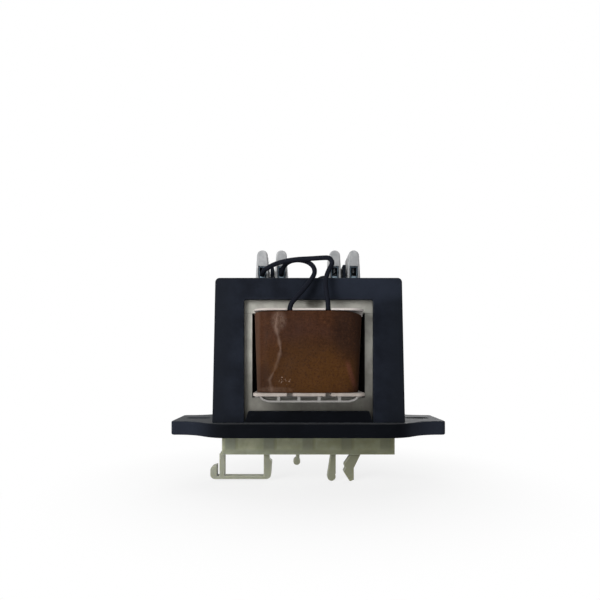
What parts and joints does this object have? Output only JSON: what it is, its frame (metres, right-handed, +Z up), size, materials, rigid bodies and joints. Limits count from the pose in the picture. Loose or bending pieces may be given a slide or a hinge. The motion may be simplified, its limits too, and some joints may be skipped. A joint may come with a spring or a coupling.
{
  "type": "din rail transformer",
  "caption": "Open control transformer: sheet core and paper-wrapped coil in a dark plastic frame with slotted ears, screw terminals on top and a pale clip for a standard rail below.",
  "frame": {"origin": "on the underside of the base plate, midway between the two ear slots", "axes": "+X along the ears, +Y to the rear, +Z up through the terminals"},
  "size_m": [0.125, 0.0634, 0.1085],
  "materials": {
    "housing_black": "satin moulded",
    "core_sheet": "dull rolled sheet",
    "bobbin_white": "moulded",
    "winding_wire": "enamelled wire",
    "barrier_paper": "plain",
    "varnished_paper": "glossy varnish",
    "lead_insulation": "satin",
    "tinned_wire": "tinned",
    "terminal_clear": "translucent",
    "zinc_steel": "zinc plated",
    "plated_brass": "tin plated",
    "natural_nylon": "moulded"
  },
  "bodies": {
    "root": {"base_plate": "housing_black", "bobbin": "bobbin_white", "clip_screws": "zinc_steel", "coil_wrap": "varnished_paper", "core_e_stack": "core_sheet", "core_i_stack": "core_sheet", "cover_frame": "housing_black", "cover_screws": "zinc_steel", "lead_primary_inner": "lead_insulation", "lead_primary_outer": "lead_insulation", "lead_secondary_inner": "lead_insulation", "lead_secondary_outer": "lead_insulation", "lead_tips": "tinned_wire", "primary_winding": "winding_wire", "rail_clip": "natural_nylon", "secondary_winding": "winding_wire", "terminal_busbar_1": "plated_brass", "terminal_busbar_2": "plated_brass", "terminal_busbar_3": "plated_brass", "terminal_busbar_4": "plated_brass", "terminal_cages_1": "zinc_steel", "terminal_cages_2": "zinc_steel", "terminal_cages_3": "zinc_steel", "terminal_cages_4": "zinc_steel", "terminal_housing_1": "terminal_clear", "terminal_housing_2": "terminal_clear", "terminal_housing_3": "terminal_clear", "terminal_housing_4": "terminal_clear", "terminal_screws": "zinc_steel", "winding_barrier": "barrier_paper"}
  },
  "joints": []
}
